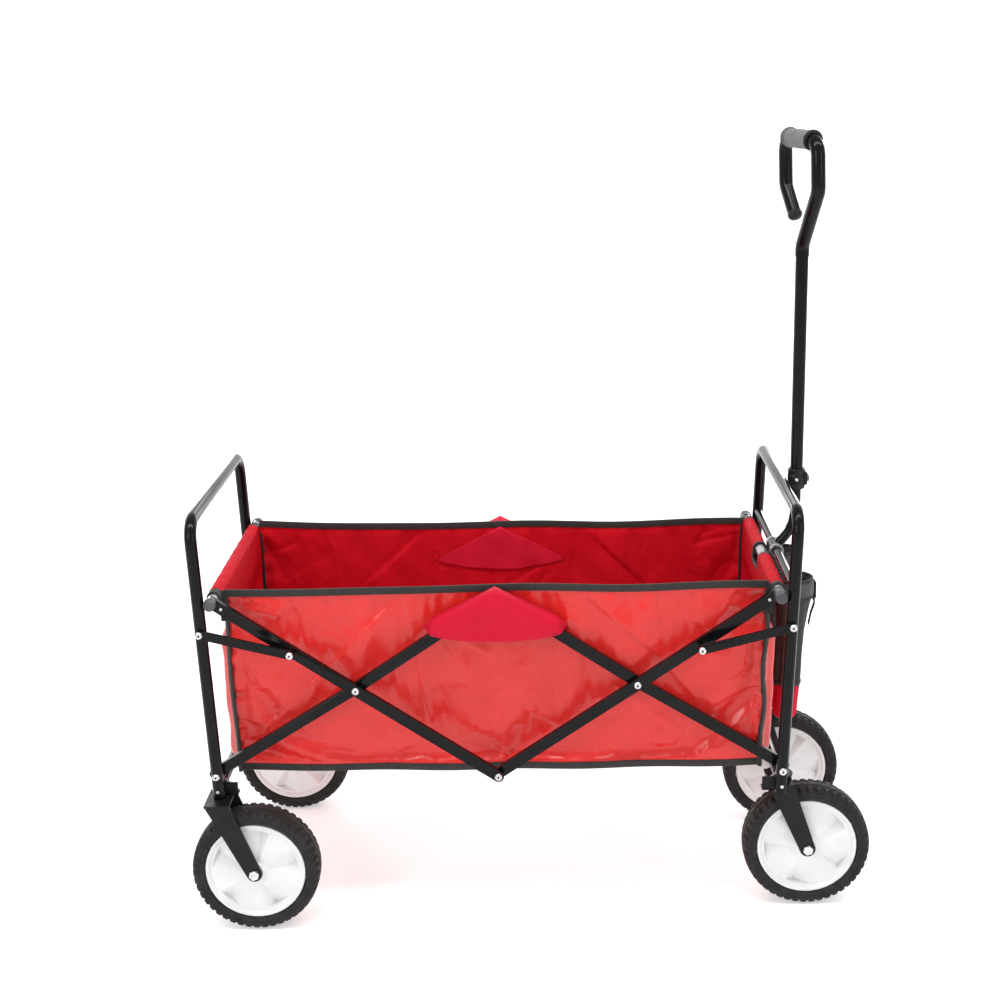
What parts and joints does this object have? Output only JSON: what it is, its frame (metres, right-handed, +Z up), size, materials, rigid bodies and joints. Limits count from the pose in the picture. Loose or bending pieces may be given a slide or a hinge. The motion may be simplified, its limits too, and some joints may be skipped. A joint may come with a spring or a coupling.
{
  "type": "folding camp wagon",
  "caption": "Folding four-wheeled utility wagon: open fabric tub on a crossed-arm steel frame, with a telescopic pull handle.",
  "frame": {"origin": "on the ground, in the middle of the overall length and width", "axes": "+X towards the pull handle, +Z up, +Y to the left of someone looking along +X"},
  "size_m": [0.918, 0.4306, 1.0358],
  "materials": {
    "black_steel": "gloss black powder coat",
    "zinc_steel": "zinc-plated rivets and bolts",
    "white_plastic": "light grey moulded plastic",
    "grey_plastic": "dark grey moulded plastic",
    "tyre_rubber": "black foam rubber with a lugged tread",
    "tub_fabric": "red coated polyester, black bindings",
    "pocket_mesh": "black net with a padded rim"
  },
  "bodies": {
    "rear_frame": {"rear_frame_tube": "black_steel", "rear_crossbar": "black_steel", "rear_foot_pin_near": "zinc_steel", "rear_foot_pin_far": "zinc_steel", "rear_fork_near": "black_steel", "rear_fork_far": "black_steel", "rear_near_axle": "zinc_steel", "rear_far_axle": "zinc_steel"},
    "rear_lower_arms": {"rear_lower_arm_near": "black_steel", "rear_lower_arm_far": "black_steel", "rear_cross_pin_near": "zinc_steel", "rear_cross_pin_far": "zinc_steel"},
    "rear_upper_arms": {"rear_upper_arm_near": "black_steel", "rear_upper_arm_far": "black_steel"},
    "rear_rail": {"rear_rail": "black_steel", "tub_fabric": "tub_fabric", "rear_rail_cap_near": "grey_plastic", "rear_rail_cap_far": "grey_plastic"},
    "front_lower_arms": {"front_lower_arm_near": "black_steel", "front_lower_arm_far": "black_steel"},
    "front_upper_arms": {"front_upper_arm_near": "black_steel", "front_upper_arm_far": "black_steel", "front_cross_pin_near": "zinc_steel", "front_cross_pin_far": "zinc_steel"},
    "front_rail": {"front_rail": "black_steel", "front_rail_cap_near": "grey_plastic", "front_rail_cap_far": "grey_plastic"},
    "front_frame": {"front_frame_tube": "black_steel", "front_crossbar": "black_steel", "handle_crossbar": "black_steel", "front_foot_pin_near": "zinc_steel", "front_foot_pin_far": "zinc_steel", "caster_bracket_near": "black_steel", "caster_bracket_far": "black_steel", "cup_pocket_near": "pocket_mesh", "cup_pocket_far": "pocket_mesh"},
    "rear_links": {"rear_link_near": "black_steel", "rear_link_far": "black_steel"},
    "front_links": {"front_link_near": "black_steel", "front_link_far": "black_steel"},
    "handle_lower": {"handle_lower_tube": "black_steel"},
    "handle_upper": {"handle_upper_tube": "black_steel", "grip": "grey_plastic", "handle_collar": "grey_plastic"},
    "rear_wheel_near": {"rear_near_tyre": "tyre_rubber", "rear_near_rim": "white_plastic"},
    "caster_near": {"caster_fork_near": "black_steel", "front_near_axle": "zinc_steel"},
    "front_wheel_near": {"front_near_tyre": "tyre_rubber", "front_near_rim": "white_plastic"},
    "rear_wheel_far": {"rear_far_tyre": "tyre_rubber", "rear_far_rim": "white_plastic"},
    "caster_far": {"caster_fork_far": "black_steel", "front_far_axle": "zinc_steel"},
    "front_wheel_far": {"front_far_tyre": "tyre_rubber", "front_far_rim": "white_plastic"}
  },
  "joints": [
    {"name": "fold", "type": "hinge", "parent": "rear_frame", "child": "rear_lower_arms", "pos_m": [-0.419, 0, 0.219], "axis": [0, -1, 0], "range_deg": [0, 45], "deforming": ["tub_fabric"]},
    {"name": "rear_cross", "type": "hinge", "parent": "rear_lower_arms", "child": "rear_upper_arms", "pos_m": [-0.229, 0, 0.336], "axis": [0, -1, 0], "range_deg": [-90, 0]},
    {"name": "rear_rail_turn", "type": "hinge", "parent": "rear_upper_arms", "child": "rear_rail", "pos_m": [-0.4115, 0, 0.46], "axis": [0, -1, 0], "range_deg": [0, 45]},
    {"name": "top_centre", "type": "hinge", "parent": "rear_lower_arms", "child": "front_lower_arms", "pos_m": [-0.044, 0, 0.46], "axis": [0, -1, 0], "range_deg": [-90, 0]},
    {"name": "front_cross", "type": "hinge", "parent": "front_lower_arms", "child": "front_upper_arms", "pos_m": [0.141, 0, 0.336], "axis": [0, -1, 0], "range_deg": [0, 90]},
    {"name": "front_rail_turn", "type": "hinge", "parent": "front_upper_arms", "child": "front_rail", "pos_m": [0.3235, 0, 0.46], "axis": [0, -1, 0], "range_deg": [-45, 0]},
    {"name": "front_frame_pivot", "type": "hinge", "parent": "front_lower_arms", "child": "front_frame", "pos_m": [0.331, 0, 0.219], "axis": [0, -1, 0], "range_deg": [0, 45]},
    {"name": "rear_link_pivot", "type": "hinge", "parent": "rear_frame", "child": "rear_links", "pos_m": [-0.42688, 0, 0.421], "axis": [0, -1, 0], "range_deg": [0, 86]},
    {"name": "front_link_pivot", "type": "hinge", "parent": "front_frame", "child": "front_links", "pos_m": [0.33888, 0, 0.421], "axis": [0, -1, 0], "range_deg": [-86, 0]},
    {"name": "handle_tilt", "type": "hinge", "parent": "front_frame", "child": "handle_lower", "pos_m": [0.34079, 0, 0.47], "axis": [0, 1, 0], "range_deg": [0, 100]},
    {"name": "handle_slide", "type": "slide", "parent": "handle_lower", "child": "handle_upper", "axis": [0, 0, 1], "range_m": [0, 0.24]},
    {"name": "rear_wheel_near_spin", "type": "hinge", "parent": "rear_frame", "child": "rear_wheel_near", "pos_m": [-0.373, -0.184, 0.086], "axis": [0, 1, 0], "continuous": true},
    {"name": "caster_near_swivel", "type": "hinge", "parent": "front_frame", "child": "caster_near", "pos_m": [0.335, -0.127, 0.15], "axis": [0, 0, 1], "continuous": true},
    {"name": "front_wheel_near_spin", "type": "hinge", "parent": "caster_near", "child": "front_wheel_near", "pos_m": [0.373, -0.127, 0.086], "axis": [0, 1, 0], "continuous": true},
    {"name": "rear_wheel_far_spin", "type": "hinge", "parent": "rear_frame", "child": "rear_wheel_far", "pos_m": [-0.373, 0.184, 0.086], "axis": [0, 1, 0], "continuous": true},
    {"name": "caster_far_swivel", "type": "hinge", "parent": "front_frame", "child": "caster_far", "pos_m": [0.335, 0.127, 0.15], "axis": [0, 0, 1], "continuous": true},
    {"name": "front_wheel_far_spin", "type": "hinge", "parent": "caster_far", "child": "front_wheel_far", "pos_m": [0.373, 0.127, 0.086], "axis": [0, 1, 0], "continuous": true}
  ],
  "couplings": [
    {"joint": "rear_cross", "follows": "fold", "ratio": -2},
    {"joint": "rear_rail_turn", "follows": "fold", "ratio": 1},
    {"joint": "top_centre", "follows": "fold", "ratio": -2},
    {"joint": "front_cross", "follows": "fold", "ratio": 2},
    {"joint": "front_rail_turn", "follows": "fold", "ratio": -1},
    {"joint": "front_frame_pivot", "follows": "fold", "ratio": 1},
    {"joint": "rear_link_pivot", "follows": "fold", "ratio": 1.8708},
    {"joint": "front_link_pivot", "follows": "fold", "ratio": -1.8708}
  ]
}
